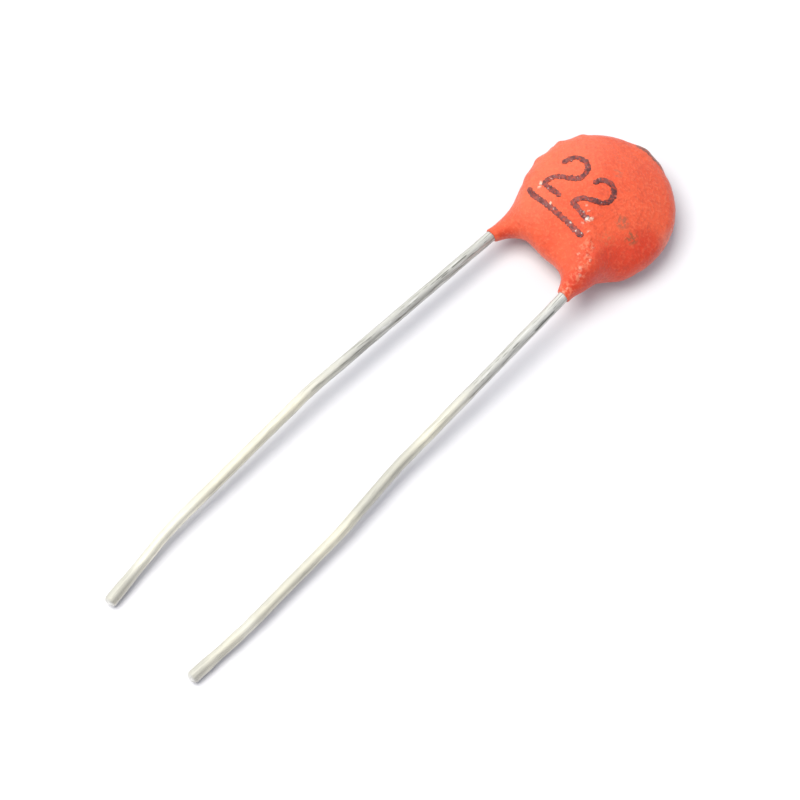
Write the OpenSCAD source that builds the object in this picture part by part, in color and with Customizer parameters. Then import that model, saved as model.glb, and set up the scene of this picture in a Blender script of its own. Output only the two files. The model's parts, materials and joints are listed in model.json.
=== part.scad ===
// Ceramic disc capacitor with two radial leads, lying on its back as it comes to rest.
// +X runs across the leads, +Y runs from the lead tips to the disc, and +Z points up.
// The origin is on the surface that it lies on, under the middle of the whole part.
// The body is drawn square in its own frame, centred in the ceramic disc, and is then
// rolled about the leads' direction and lifted until its skin touches the surface.

/* [Ceramic disc] */
// Diameter of the ceramic disc
disc_d = 5.3; // [4.8:0.1:6]
// Thickness of the ceramic disc
disc_t = 0.9; // [0.7:0.05:1.2]
// Bare ceramic left round each electrode
electrode_margin = 0.35; // [0.2:0.05:0.6]
// Thickness of each silver electrode
electrode_t = 0.03; // [0.02:0.01:0.05]

/* [Solder] */
// Thickness of the solder film between an electrode and its lead
solder_film = 0.04; // [0.03:0.01:0.08]
// Radius of each solder mound on its electrode
solder_r = 1.4; // [1.2:0.1:1.8]
// Solder left over the top of the wire
solder_cover = 0.1; // [0.06:0.01:0.14]

/* [Leads] */
// Diameter of the tinned wire
wire_d = 0.5; // [0.4:0.05:0.6]
// Distance of the left leg from the middle of the disc
left_leg_x = 2.25; // [2:0.05:2.5]
// Distance of the right leg from the middle of the disc
right_leg_x = 2; // [1.8:0.05:2.3]
// How far a lead lies from the middle plane of the disc at the end of its leg
leg_rise = 0.45; // [0.3:0.05:0.5]
// How far a lead leans inwards between the end of its leg and its kink
kink_in = 0.3; // [0.1:0.05:0.5]
// Distance from the edge of the ceramic disc to the kink
kink_gap = 0.45; // [0.35:0.05:0.5]
// Radius of the kink
kink_r = 1.2; // [0.8:0.1:1.4]
// Radius of the bend at the end of a leg
knee_r = 0.7; // [0.6:0.1:0.9]
// How far short of the middle of the disc each lead ends
lead_short = 0.4; // [0.2:0.1:0.8]
// Radius of the soft bends below the legs
bend_r = 12; // [6:1:16]

/* [Left lead] */
// Distance from the leg to the first bend
left_first = 10.6; // [9:0.1:13]
// Distance from the first bend to the second
left_middle = 8.3; // [6:0.1:9]
// Distance from the second bend to the tip
left_last = 3.8; // [3.5:0.1:6]
// Direction of the first stretch, in degrees to the right
left_lean_1 = -0.6; // [-4:0.2:4]
// Direction of the middle stretch, in degrees to the right
left_lean_2 = 2.8; // [0:0.2:6]
// Direction of the last stretch, in degrees to the right
left_lean_3 = 8.6; // [2:0.2:10]
// Height of the first bend
left_height_1 = 1.15; // [0.8:0.05:1.3]
// Height of the second bend
left_height_2 = 0.65; // [0.4:0.05:0.8]

/* [Right lead] */
// Distance from the leg to the first bend
right_first = 10.4; // [9:0.1:13]
// Distance from the first bend to the second
right_middle = 3.4; // [2.5:0.1:6]
// Distance from the second bend to the third
right_lower = 5.6; // [4:0.2:8]
// Distance from the third bend to the tip
right_last = 3; // [2.5:0.1:5]
// Direction of the first stretch, in degrees to the right
right_lean_1 = 2.8; // [0:0.2:6]
// Direction of the middle stretch, in degrees to the right
right_lean_2 = 7; // [2:0.2:9]
// Direction of the lower stretch, in degrees to the right
right_lean_3 = 3.2; // [0:0.2:6]
// Direction of the last stretch, in degrees to the right
right_lean_4 = -0.6; // [-4:0.2:4]
// Height of the first bend
right_height_1 = 0.8; // [0.6:0.05:1.3]
// Height of the second bend
right_height_2 = 0.65; // [0.5:0.05:1]
// Height of the third bend
right_height_3 = 0.45; // [0.35:0.05:0.6]

/* [Coat] */
// Coat over the edge of the ceramic disc
rim_cover = 0.73; // [0.6:0.01:0.9]
// Coat over the top of each lead in the middle of the disc
face_cover = 0.33; // [0.25:0.01:0.5]
// Radius of the rounded rim
rim_r = 0.74; // [0.6:0.02:1]
// How far the legs reach past the coated disc
leg_reach = 0.84; // [0.4:0.02:1]
// Coat over the wire at the end of a leg
leg_cover = 0.07; // [0.05:0.01:0.12]
// Coat over the wire at its kink
kink_cover = 0.08; // [0.06:0.02:0.2]
// Coat over the wire at its inner end
inner_cover = 0.26; // [0.2:0.01:0.3]
// How softly the legs flow into the disc
leg_blend = 1.6; // [1.2:0.1:2]
// How softly the ridge over each lead sinks into the face
ridge_blend = 0.5; // [0.3:0.05:0.6]

/* [Rest] */
// Roll of the body about the leads' direction, right side down, in degrees
roll = 6; // [0:0.5:12]

/* [Hidden] */

left = -1;           // the left lead lies on the back face
right = 1;           // the right lead lies on the front face
round_fn = 64;       // roundness of discs and wires
sections = 60;       // sections of the skin from leg to leg
rays = 36;           // points round each section
halvings = 14;       // steps of each search for the skin
reach = 1.8;         // how far a search looks, in half-widths of its section
hair = 0.002;        // what a bend of a wire is thicker than its straight stretches
lap = 0.02;          // how far a straight stretch runs into a bend

wire_r = wire_d / 2;
electrode_r = disc_d / 2 - electrode_margin;
face_rise = disc_t / 2 + electrode_t + solder_film + wire_r;
half_t = face_rise + wire_r + face_cover;
coat_r = disc_d / 2 + rim_cover;
leg_y = coat_r + leg_reach;

function unit(v) = v / norm(v);

// ---- Places of the leads in the body's own frame ----

function leg_x(side) = side == left ? -left_leg_x : right_leg_x;
function leg_end(side) = [leg_x(side), -leg_y, side * leg_rise];
function kink(side) = let (x = leg_x(side) - side * kink_in, r = disc_d / 2 + kink_gap)
    [x, -sqrt(r * r - x * x), side * face_rise];
function inner_end(side) = [0, -lead_short, side * face_rise];

// ---- Skin of the coat: a function that is negative inside ----

// Joins two skins with a soft fillet of size k
function blend(a, b, k) = let (h = max(0, 1 - abs(a - b) / k)) min(a, b) - h * h * k / 4;

// Two shallow caps that meet in a rounded rim
rim_at = coat_r - rim_r;
cap_r = (rim_at * rim_at + half_t * half_t - rim_r * rim_r) / (2 * (half_t - rim_r));
cap_z = half_t - cap_r;
function lens(p) = let (rho = norm([p.x, p.y]), z = abs(p.z))
    (z - cap_z) * rim_at + rho * cap_z < 0
        ? norm([rho - rim_at, z]) - rim_r
        : norm([rho, z - cap_z]) - cap_r;

// A sleeve round the stretch from a to b, of radius ra at a and rb at b
function sleeve(p, a, b, ra, rb) =
    let (t = max(0, min(1, (p - a) * (b - a) / ((b - a) * (b - a)))))
    norm(p - a - t * (b - a)) - ra - (rb - ra) * t;

function leg(p, side) =
    sleeve(p, leg_end(side), kink(side), wire_r + leg_cover, wire_r + kink_cover);
function ridge(p, side) =
    sleeve(p, kink(side), inner_end(side), wire_r + kink_cover, wire_r + inner_cover);
function with_legs(p) =
    blend(blend(lens(p), leg(p, left), leg_blend), leg(p, right), leg_blend);
function skin(p) =
    blend(blend(with_legs(p), ridge(p, left), ridge_blend), ridge(p, right), ridge_blend);

// Distance from point o to the skin along d, by halving the range between near and far
function to_skin(o, d, near, far, n = halvings) = let (mid = (near + far) / 2)
    n == 0 ? mid
    : skin(o + d * mid) < 0 ? to_skin(o, d, mid, far, n - 1)
    : to_skin(o, d, near, mid, n - 1);

// One closed section of the skin. The sections fan out from an axis between the ends of
// the legs, so each of them cuts a leg or the disc nearly square.
function section(turn) = let (
    side = turn < 90 ? right : left,
    out = [cos(turn), sin(turn), 0],
    guess = 1 / norm([cos(turn) / leg_x(side), sin(turn) / leg_y]),
    heart = [0, -leg_y, side * leg_rise * pow(cos(turn), 2)] + out * guess,
    inner = to_skin(heart, -out, 0, guess),
    outer = to_skin(heart, out, 0, 2 * coat_r),
    middle = heart + out * (outer - inner) / 2,
    half_w = (outer + inner) / 2,
    half_h = to_skin(middle, [0, 0, side], 0, 2 * half_t)
) [
    for (i = [0:rays - 1]) let (
        a = 360 * i / rays,
        d = out * half_w * cos(a) + [0, 0, half_h * sin(a)]
    ) middle + d * to_skin(middle, d, 0, reach)
];
skin_points = [for (j = [0:sections]) each section(180 * j / sections)];

// ---- How the body lies ----

function rolled(p) =
    [p.x * cos(roll) + p.z * sin(roll), p.y, p.z * cos(roll) - p.x * sin(roll)];
rest_z = -min([for (p = skin_points) rolled(p).z]);

// Point of the body's own frame, as it lies
function laid(p) = rolled(p) + [0, 0, rest_z];

// ---- Routes of the leads, as they lie ----

// Next corner down a lead: len further from the disc, lean degrees to the right, at height z
function down(p, len, lean, z) = [p.x + len * sin(lean), p.y - len * cos(lean), z];

// Corners of a lead from its inner end to its tip, which lies on the surface
function inside(side) = [laid(inner_end(side)), laid(kink(side)), laid(leg_end(side))];
left_route = let (
    a = down(laid(leg_end(left)), left_first, left_lean_1, left_height_1),
    b = down(a, left_middle, left_lean_2, left_height_2),
    tip = down(b, left_last, left_lean_3, wire_r)
) concat(inside(left), [a, b, tip]);
right_route = let (
    a = down(laid(leg_end(right)), right_first, right_lean_1, right_height_1),
    b = down(a, right_middle, right_lean_2, right_height_2),
    c = down(b, right_lower, right_lean_3, right_height_3),
    tip = down(c, right_last, right_lean_4, wire_r)
) concat(inside(right), [a, b, c, tip]);

// Middle of the whole part, seen from above, and its shift to the origin
tips = [left_route[len(left_route) - 1], right_route[len(right_route) - 1]];
wire_xs = [for (p = concat(left_route, right_route)) each [p.x - wire_r, p.x + wire_r]];
xs = concat([-coat_r, coat_r], wire_xs);
ys = concat([coat_r], [for (p = tips) p.y]);
to_origin = -[(min(xs) + max(xs)) / 2, (min(ys) + max(ys)) / 2, 0];

// ---- Shapes ----

// Puts a shape of the body's own frame where it lies
module lay() translate([0, 0, rest_z]) rotate([0, roll, 0]) children();

// Straight wire from a to b
module straight(a, b) let (d = b - a)
    translate(a) rotate([0, acos(d.z / norm(d)), atan2(d.y, d.x)])
    cylinder(r = wire_r, h = norm(d), $fn = round_fn);

// Bend of radius r about c, which starts at the point c - w * r in the direction u
module bend(c, u, w, r, turn) let (z = cross(u, w))
    multmatrix([
        [-w.x, u.x, z.x, c.x],
        [-w.y, u.y, z.y, c.y],
        [-w.z, u.z, z.z, c.z],
        [0, 0, 0, 1]
    ])
    rotate_extrude(angle = turn, $fn = round_fn) translate([r, 0])
    circle(wire_r + hair, $fn = round_fn);

// Round wire through the corners, with corner i bent to the radius radii[i]. Each stretch
// runs a little way into the bends at its ends, which are a hair thicker than the wire, so
// that no two surfaces only touch.
module wire(corners, radii) {
    last = len(corners) - 1;
    ahead = [for (i = [0:last - 1]) unit(corners[i + 1] - corners[i])];
    turn = [for (i = [0:last]) i == 0 || i == last ? 0 : acos(ahead[i - 1] * ahead[i])];
    cut = [for (i = [0:last]) radii[i] * tan(turn[i] / 2)];
    for (i = [0:last - 1]) straight(
        corners[i] + ahead[i] * (cut[i] - (i == 0 ? 0 : lap)),
        corners[i + 1] - ahead[i] * (cut[i + 1] - (i + 1 == last ? 0 : lap))
    );
    for (i = [1:last - 1]) let (u = ahead[i - 1], w = unit(ahead[i] - u * (ahead[i] * u)))
        bend(corners[i] - u * cut[i] + w * radii[i], u, w, radii[i], turn[i]);
}

module left_wire() wire(left_route, [0, kink_r, knee_r, bend_r, bend_r, 0]);
module right_wire() wire(right_route, [0, kink_r, knee_r, bend_r, bend_r, bend_r, 0]);

module disc() lay() cylinder(r = disc_d / 2, h = disc_t, center = true, $fn = round_fn);

// Round layer on the front face (side = right) or on the back face (side = left)
module on_face(side, r, from, thickness)
    lay() mirror([0, 0, side == left ? 1 : 0]) translate([0, 0, from])
    cylinder(r = r, h = thickness, $fn = round_fn);

module electrode(side) on_face(side, electrode_r, disc_t / 2, electrode_t);

// Mound of solder: the cap of a ball, standing on the electrode
solder_h = solder_film + wire_d + solder_cover;
ball_r = (solder_r * solder_r + solder_h * solder_h) / (2 * solder_h);
module mound(side)
    lay() mirror([0, 0, side == left ? 1 : 0]) translate([0, 0, disc_t / 2 + electrode_t])
    rotate_extrude($fn = round_fn) intersection() {
        translate([0, solder_h - ball_r]) circle(ball_r, $fn = round_fn);
        square(ball_r);
    }

// Skin of the coat, as one closed mesh of sections from the right leg to the left
module skin_solid() {
    quads = [for (j = [0:sections - 1], i = [0:rays - 1]) let (k = (i + 1) % rays)
        [j * rays + i, j * rays + k, (j + 1) * rays + k, (j + 1) * rays + i]];
    sides = [for (q = quads) each [[q[0], q[1], q[2]], [q[0], q[2], q[3]]]];
    ends = [
        [for (i = [rays - 1:-1:0]) i],
        [for (i = [0:rays - 1]) sections * rays + i]
    ];
    polyhedron(skin_points, concat(sides, ends));
}

// Skin with room for all that lies inside it except the wires, which are cut out last
module hollow_skin() difference() {
    lay() skin_solid();
    disc();
    electrode(right);
    electrode(left);
    mound(right);
    mound(left);
}

// ---- Pieces ----

module ceramic_disc() color("burlywood") translate(to_origin) disc();
module electrode_front() color("silver") translate(to_origin) electrode(right);
module electrode_back() color("silver") translate(to_origin) electrode(left);
module solder_front() color("lightgray") translate(to_origin) difference() {
    mound(right);
    right_wire();
}
module solder_back() color("lightgray") translate(to_origin) difference() {
    mound(left);
    left_wire();
}
module lead_left() color("gainsboro") translate(to_origin) left_wire();
module lead_right() color("gainsboro") translate(to_origin) right_wire();
module coating() color("tomato") translate(to_origin) difference() {
    hollow_skin();
    left_wire();
    right_wire();
}

coating();
ceramic_disc();
electrode_front();
electrode_back();
solder_front();
solder_back();
lead_left();
lead_right();
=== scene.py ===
"""Ceramic disc capacitor: orange dipped coat, printed value, two tinned leads and the parts inside."""

import json
import math

import bpy
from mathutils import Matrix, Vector
from mathutils.bvhtree import BVHTree
from mathutils.geometry import intersect_point_line

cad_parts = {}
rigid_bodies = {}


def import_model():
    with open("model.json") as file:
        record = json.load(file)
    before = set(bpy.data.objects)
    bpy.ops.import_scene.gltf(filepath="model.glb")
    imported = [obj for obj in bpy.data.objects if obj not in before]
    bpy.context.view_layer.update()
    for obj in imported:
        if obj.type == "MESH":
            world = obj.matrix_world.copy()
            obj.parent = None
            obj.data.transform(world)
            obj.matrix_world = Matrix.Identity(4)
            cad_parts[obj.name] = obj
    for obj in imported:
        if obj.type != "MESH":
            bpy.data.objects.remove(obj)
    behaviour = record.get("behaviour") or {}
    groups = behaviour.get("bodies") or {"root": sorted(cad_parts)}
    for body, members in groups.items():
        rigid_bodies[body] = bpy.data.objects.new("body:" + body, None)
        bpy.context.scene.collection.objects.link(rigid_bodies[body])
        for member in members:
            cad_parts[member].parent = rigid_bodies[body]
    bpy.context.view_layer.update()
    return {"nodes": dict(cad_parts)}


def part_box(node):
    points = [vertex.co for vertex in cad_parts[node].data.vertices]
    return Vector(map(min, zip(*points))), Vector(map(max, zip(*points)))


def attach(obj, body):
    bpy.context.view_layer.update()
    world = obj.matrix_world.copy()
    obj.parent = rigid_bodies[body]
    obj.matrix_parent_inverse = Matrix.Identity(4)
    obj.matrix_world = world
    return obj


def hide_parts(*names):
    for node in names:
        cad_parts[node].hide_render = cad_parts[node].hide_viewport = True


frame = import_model()

bl_info = {
    "name": "Disc Capacitor",
    "version": (1, 0, 0),
    "blender": (4, 5, 0),
    "location": "View3D > Sidebar > Capacitor",
    "description": "Builds a ceramic disc capacitor around its packed frame",
    "category": "Object",
}

BODY = "root"
MM = 0.001
INSIDE = ("ceramic_disc", "electrode_front", "electrode_back", "solder_front", "solder_back")
LEADS = ("lead_left", "lead_right")

# Middle of the ceramic disc in millimetres, from which the marks on the pieces are placed
CENTRE = sum((Vector(corner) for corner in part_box("ceramic_disc")), Vector()) / (2 * MM)

# A piece is modelled in millimetres and turned into metres when it is done.
# A zone is a place from CENTRE, its radius and the width of its soft edge, in millimetres.
# A tint is a zone, the share of it that is tinted, and the colour that it takes there.


# ---- Settings ----


def colour_setting(name, description, default):
    """A colour in the sidebar."""
    return bpy.props.FloatVectorProperty(
        name=name, description=description, subtype="COLOR", size=3, min=0, max=1, default=default
    )


def number_setting(name, description, low, high, default, **kind):
    """A number in the sidebar, between two limits."""
    return bpy.props.FloatProperty(
        name=name, description=description, min=low, max=high, default=default, **kind
    )


LENGTH = {"unit": "LENGTH", "subtype": "DISTANCE"}
SHARE = {"subtype": "FACTOR"}


class CoatSettings(bpy.types.PropertyGroup):
    """Sizes and colours of the dipped coat"""

    colour: colour_setting("Resin", "Colour of the resin where it is thick", (0.86, 0.110, 0.035))
    deep_colour: colour_setting("Deep resin", "Colour of the resin in its clouds", (0.79, 0.085, 0.026))
    grain: number_setting("Grain", "Size of the skin's faces", 0.04 * MM, 0.20 * MM, 0.06 * MM, **LENGTH)
    wobble: number_setting("Wobble", "How uneven the skin is", 0, 0.20 * MM, 0.07 * MM, **LENGTH)
    roughness: number_setting("Roughness", "How satin the resin is", 0, 1, 0.42, **SHARE)


class MarkingSettings(bpy.types.PropertyGroup):
    """Sizes and colours of the printed value"""

    colour: colour_setting("Ink", "Colour of the ink where it is thick", (0.090, 0.020, 0.022))
    thin_colour: colour_setting("Thin ink", "Colour of the ink where it is thin", (0.29, 0.080, 0.068))
    stroke: number_setting("Stroke", "Width of a stroke", 0.10 * MM, 0.40 * MM, 0.23 * MM, **LENGTH)
    thickness: number_setting(
        "Thickness", "How thick the ink is", 0.004 * MM, 0.040 * MM, 0.014 * MM, **LENGTH
    )


class LeadSettings(bpy.types.PropertyGroup):
    """Sizes and colours of the two leads"""

    diameter: number_setting(
        "Diameter", "Diameter of the tinned wire", 0.40 * MM, 0.60 * MM, 0.50 * MM, **LENGTH
    )
    colour: colour_setting("Tin", "Colour of the tin on the wire", (0.92, 0.88, 0.70))
    dull_colour: colour_setting("Dull tin", "Colour of the tin towards the coat", (0.73, 0.73, 0.68))
    roughness: number_setting("Roughness", "How soft the shine of the tin is", 0, 1, 0.38, **SHARE)


class InsideSettings(bpy.types.PropertyGroup):
    """Colours of the parts under the coat"""

    ceramic: colour_setting("Ceramic", "Colour of the fired disc", (0.72, 0.62, 0.46))
    silver: colour_setting("Silver", "Colour of the printed silver layers", (0.80, 0.79, 0.76))
    solder: colour_setting("Solder", "Colour of the solder mounds", (0.66, 0.66, 0.67))


class StageSettings(bpy.types.PropertyGroup):
    """Floor, light and camera"""

    floor_colour: colour_setting("Floor", "Colour of the floor", (0.88, 0.88, 0.88))
    floor_lift: number_setting(
        "Floor lift", "How much whiter than lit the floor looks by the part", 0, 1, 0.03, **SHARE
    )
    key_power: number_setting("Main lamp", "Power of the large soft lamp", 0, 5, 0.82, unit="POWER")
    sky: colour_setting(
        "Surrounding light", "Colour and level of the light from all round", (0.45, 0.455, 0.52)
    )
    lens: number_setting(
        "Lens", "Focal length of the camera in millimetres", 20, 300, 103.5, subtype="DISTANCE_CAMERA"
    )


# ---- Modelling helpers ----

# Vertices this near are at the same place
SAME_PLACE = 0.0004


def only(piece):
    """Leaves this piece as the one that is selected and active."""
    bpy.ops.object.select_all(action="DESELECT")
    piece.select_set(True)
    bpy.context.view_layer.objects.active = piece


def shape(piece, kind, **values):
    """Adds a modifier with these values and applies it."""
    only(piece)
    modifier = piece.modifiers.new(kind.title(), kind)
    for name, value in values.items():
        setattr(modifier, name, value)
    bpy.ops.object.modifier_apply(modifier=modifier.name)


def merge(piece):
    """Makes vertices at the same place one and turns the faces outward."""
    only(piece)
    bpy.ops.object.mode_set(mode="EDIT")
    bpy.ops.mesh.select_all(action="SELECT")
    bpy.ops.mesh.remove_doubles(threshold=SAME_PLACE)
    bpy.ops.mesh.normals_make_consistent(inside=False)
    bpy.ops.object.mode_set(mode="OBJECT")


def rumple(piece, name, size, strength, depth=2, **values):
    """Makes a piece uneven by a soft noise of this size and strength."""
    texture = bpy.data.textures.new(name, "CLOUDS")
    texture.noise_scale = size
    texture.noise_depth = depth
    shape(piece, "DISPLACE", texture=texture, texture_coords="LOCAL", strength=strength, **values)


def search_tree(meshes):
    """Search tree of meshes in metres, for places in millimetres."""
    points, faces = [], []
    for mesh in meshes:
        start = len(points)
        points += [vertex.co / MM for vertex in mesh.vertices]
        faces += [[start + i for i in face.vertices] for face in mesh.polygons]
    return BVHTree.FromPolygons(points, faces)


def clamp(value):
    """The value, held between 0 and 1."""
    return min(1.0, max(0.0, value))


def settle(piece, material):
    """Turns a piece modelled in millimetres into metres and lets it ride on the body."""
    piece.scale = (MM, MM, MM)
    only(piece)
    bpy.ops.object.transform_apply(location=True, rotation=True, scale=True)
    bpy.ops.object.shade_smooth()
    piece.data.materials.clear()
    piece.data.materials.append(material)
    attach(piece, BODY)


def join(pieces, name):
    """Joins several objects into one and names it."""
    only(pieces[0])
    for piece in pieces:
        piece.select_set(True)
    bpy.ops.object.join()
    pieces[0].name = name
    pieces[0].data.name = name
    return pieces[0]


# ---- Material helpers ----


class Nodes:
    """Short calls for building one node tree. A value is a socket, a number, a vector or a colour."""

    def __init__(self, tree):
        self.tree = tree

    def feed(self, socket, value):
        """Wires a socket to an input, or sets the input to another value."""
        if isinstance(value, bpy.types.NodeSocket):
            self.tree.links.new(value, socket)
        else:
            socket.default_value = (*value, 1) if socket.type == "RGBA" else value

    def put(self, node, **values):
        """Gives a node these properties, or these values to its inputs of that name."""
        for name, value in values.items():
            if hasattr(node, name):
                setattr(node, name, value)
            else:
                self.feed(node.inputs[name.replace("_", " ")], value)
        return node

    def add(self, kind, **values):
        """Adds a node with these properties and inputs."""
        return self.put(self.tree.nodes.new(kind), **values)

    def noise(self, place, scale, detail=2.0, roughness=0.6):
        """Noise between 0 and 1 at a place, with its scale in cells per unit of the place."""
        values = {"Vector": place, "Scale": scale, "Detail": detail, "Roughness": roughness}
        return self.add("ShaderNodeTexNoise", **values).outputs["Fac"]

    def ramp(self, value, low, high, out_low=0.0, out_high=1.0):
        """Carries a value softly from one range to another and holds it there."""
        node = self.add("ShaderNodeMapRange", interpolation_type="SMOOTHSTEP", Value=value)
        self.put(node, From_Min=low, From_Max=high, To_Min=out_low, To_Max=out_high)
        return node.outputs["Result"]

    def calculate(self, kind, operation, values):
        """The outputs of one calculation with one to three values."""
        node = self.add(kind, operation=operation)
        for socket, value in zip(node.inputs, values):
            self.feed(socket, value)
        return node.outputs

    def math(self, operation, *values):
        """One calculation with numbers."""
        return self.calculate("ShaderNodeMath", operation, values)["Value"]

    def vectors(self, operation, *values):
        """One calculation with vectors, as its outputs Vector and Value."""
        return self.calculate("ShaderNodeVectorMath", operation, values)

    def both(self, *masks):
        """The product of several masks."""
        product = masks[0]
        for mask in masks[1:]:
            product = self.math("MULTIPLY", product, mask)
        return product

    def off(self, value, middle):
        """How far a value is from another."""
        return self.math("ABSOLUTE", self.math("SUBTRACT", value, middle))

    def mix(self, mask, first, second, share=1):
        """Mixes two colours by a share of a mask."""
        node = self.add("ShaderNodeMix", data_type="RGBA")
        self.feed(node.inputs[0], mask if share == 1 else self.both(mask, share))
        for socket, value in zip(node.inputs[6:8], (first, second)):
            self.feed(socket, value)
        return node.outputs[2]

    def near(self, place, centre, radius, softness):
        """1 within a zone and 0 away from it."""
        gap = self.vectors("DISTANCE", place, (CENTRE + Vector(centre)) * MM)["Value"]
        return self.ramp(gap, MM * radius, MM * (radius + softness), 1.0, 0.0)

    def any_near(self, place, zones):
        """1 within any of the zones and 0 away from them all."""
        mask = 0.0
        for zone in zones:
            mask = self.math("MAXIMUM", mask, self.near(place, *zone))
        return mask

    def tinted(self, place, colour, tints):
        """The colour after the tints have been laid on it one by one."""
        for *zone, share, tint in tints:
            colour = self.mix(self.near(place, *zone), colour, tint, share)
        return colour

    def apart(self, vector):
        """The X, Y and Z of a vector."""
        return self.add("ShaderNodeSeparateXYZ", Vector=vector).outputs

    def stretched(self, place, along, across):
        """A place with its first two axes scaled by these factors."""
        node = self.add("ShaderNodeMapping", Vector=place, Scale=(along, across, 1))
        return node.outputs["Vector"]

    def ragged(self, place, scale, amount):
        """The place, shifted this way and that by up to about the amount in millimetres."""
        noise = self.noise(place, scale).node.outputs["Color"]
        ends = [(share * amount * MM,) * 3 for share in (4, -2)]
        shift = self.vectors("MULTIPLY_ADD", noise, *ends)["Vector"]
        return self.vectors("ADD", place, shift)["Vector"]


def new_material(name):
    """A material with its Principled shader, its node helper and the place on the piece."""
    material = bpy.data.materials.new(name)
    material.use_nodes = True
    nodes = Nodes(material.node_tree)
    shader = material.node_tree.nodes["Principled BSDF"]
    place = nodes.add("ShaderNodeTexCoord").outputs["Object"]
    return material, nodes, shader, place


def clouded(nodes, mask, colour, share):
    """A colour that falls to this share of itself with a mask."""
    return nodes.mix(mask, colour, [share * channel for channel in colour])


def bump(nodes, height, distance, strength):
    """The normal over a height; distance is in millimetres."""
    node = nodes.add("ShaderNodeBump", Height=height, Distance=distance * MM, Strength=strength)
    return node.outputs["Normal"]


def rays_of(nodes, *kinds):
    """1 for rays of these kinds and 0 for the rest."""
    path = nodes.add("ShaderNodeLightPath").outputs
    mask = 0.0
    for kind in kinds:
        mask = nodes.math("MAXIMUM", mask, path[f"Is {kind} Ray"])
    return mask


def effect_tree(name, inputs, outputs):
    """A new shared effect: its node helper, and the sockets that it gets and gives."""
    tree = bpy.data.node_groups.new(name, "ShaderNodeTree")
    tree.interface.new_socket("Vector", in_out="INPUT", socket_type="NodeSocketVector")
    for labels, way in ((inputs, "INPUT"), (outputs, "OUTPUT")):
        for label in labels:
            tree.interface.new_socket(label, in_out=way, socket_type="NodeSocketFloat")
    nodes = Nodes(tree)
    return nodes, nodes.add("NodeGroupInput").outputs, nodes.add("NodeGroupOutput").inputs


def speckle(nodes, place, fine, broad, coverage):
    """Shared effect: the masks of fine speckles and of broad clouds, with their own scales."""
    name = "Speckle"
    if name not in bpy.data.node_groups:
        inputs = ("Fine Scale", "Broad Scale", "Coverage")
        inner, given, masks = effect_tree(name, inputs, ("Speckles", "Clouds"))
        grains = inner.noise(given["Vector"], given["Fine Scale"], 3)
        clouds = inner.noise(given["Vector"], given["Broad Scale"], 2, 0.5)
        lifted = inner.math("SUBTRACT", grains, inner.math("SUBTRACT", 1, given["Coverage"]))
        inner.feed(masks["Speckles"], inner.ramp(lifted, -0.06, 0.10))
        inner.feed(masks["Clouds"], inner.ramp(clouds, 0.30, 0.70))
    values = {"Vector": place, "Fine_Scale": fine, "Broad_Scale": broad, "Coverage": coverage}
    node = nodes.add("ShaderNodeGroup", node_tree=bpy.data.node_groups[name], **values)
    return node.outputs["Speckles"], node.outputs["Clouds"]


# Painted glints, highlights on small beads of the coat and the ink: place from CENTRE, radius and
# strength
GLINTS = [
    ((-2.192, -1.363, 1.035), 0.090, 0.85),
    ((-2.122, -1.553, 1.013), 0.070, 0.85),
    ((-1.207, -1.781, 1.104), 0.060, 0.85),
    ((-1.260, -2.000, 1.035), 0.040, 0.60),
    ((0.017, -0.833, 1.359), 0.060, 0.60),
    ((0.236, -0.993, 1.325), 0.055, 0.60),
    ((0.144, -1.138, 1.298), 0.045, 0.60),
    ((0.490, -1.276, 1.273), 0.120, 0.85),
    ((0.600, -1.120, 1.284), 0.080, 0.85),
    ((0.452, -1.502, 1.201), 0.060, 0.60),
    ((0.052, -1.812, 1.101), 0.055, 0.85),
    ((0.473, -1.934, 1.071), 0.045, 0.85),
    ((0.736, -1.874, 1.130), 0.050, 0.85),
    ((0.864, -1.619, 1.197), 0.050, 0.60),
    ((1.299, -2.652, 1.081), 0.060, 0.42),
    ((1.821, -3.027, 1.036), 0.080, 0.42),
    ((1.998, -3.223, 0.904), 0.065, 0.42),
    ((1.982, -4.196, 0.577), 0.080, 0.42),
    ((1.973, -3.954, 0.653), 0.045, 0.42),
    ((1.491, -2.008, 1.129), 0.045, 0.42),
    ((1.871, -2.519, 1.160), 0.050, 0.42),
    ((1.622, -2.447, 1.170), 0.050, 0.42),
    ((2.926, 1.523, 0.051), 0.055, 0.42),
    ((-2.989, -1.265, 0.650), 0.050, 0.42),
]


def glints(nodes, place):
    """Shared effect: the mask of the painted glints on small beads, with ragged edges."""
    name = "Glints"
    if name not in bpy.data.node_groups:
        inner, given, masks = effect_tree(name, (), ("Mask",))
        shifted = inner.ragged(given["Vector"], scale=9000, amount=0.06)
        mask = 0.0
        for centre, radius, strength in GLINTS:
            spot = inner.near(shifted, centre, 0.45 * radius, radius)
            mask = inner.math("MAXIMUM", mask, inner.both(spot, strength))
        inner.feed(masks["Mask"], mask)
    node = nodes.add("ShaderNodeGroup", node_tree=bpy.data.node_groups[name], Vector=place)
    return node.outputs["Mask"]


# ---- Coat ----

# Colours that the resin takes in places: painted shade, painted sheen, a painted reflection of the
# floor, pits, specks, painted ridge highlights, the rim line and painted glints
PAINTED_SHADE = (0.61, 0.020, 0.002)
PAINTED_SHEEN = (0.98, 0.24, 0.12)
PAINTED_FLOOR_REFLECTION = (0.80, 0.30, 0.22)
PIT = (0.50, 0.050, 0.020)
SPECK = (1.0, 0.27, 0.13)
PAINTED_RIDGE_HIGHLIGHT = (1.0, 0.36, 0.20)
RIM_BROWN = (0.15, 0.075, 0.05)
PAINTED_GLINT = (1.0, 0.70, 0.52)
# The light that the coat throws on what is about it is greyer than the coat
THROWN = (0.12, 0.08, 0.08)
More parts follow.
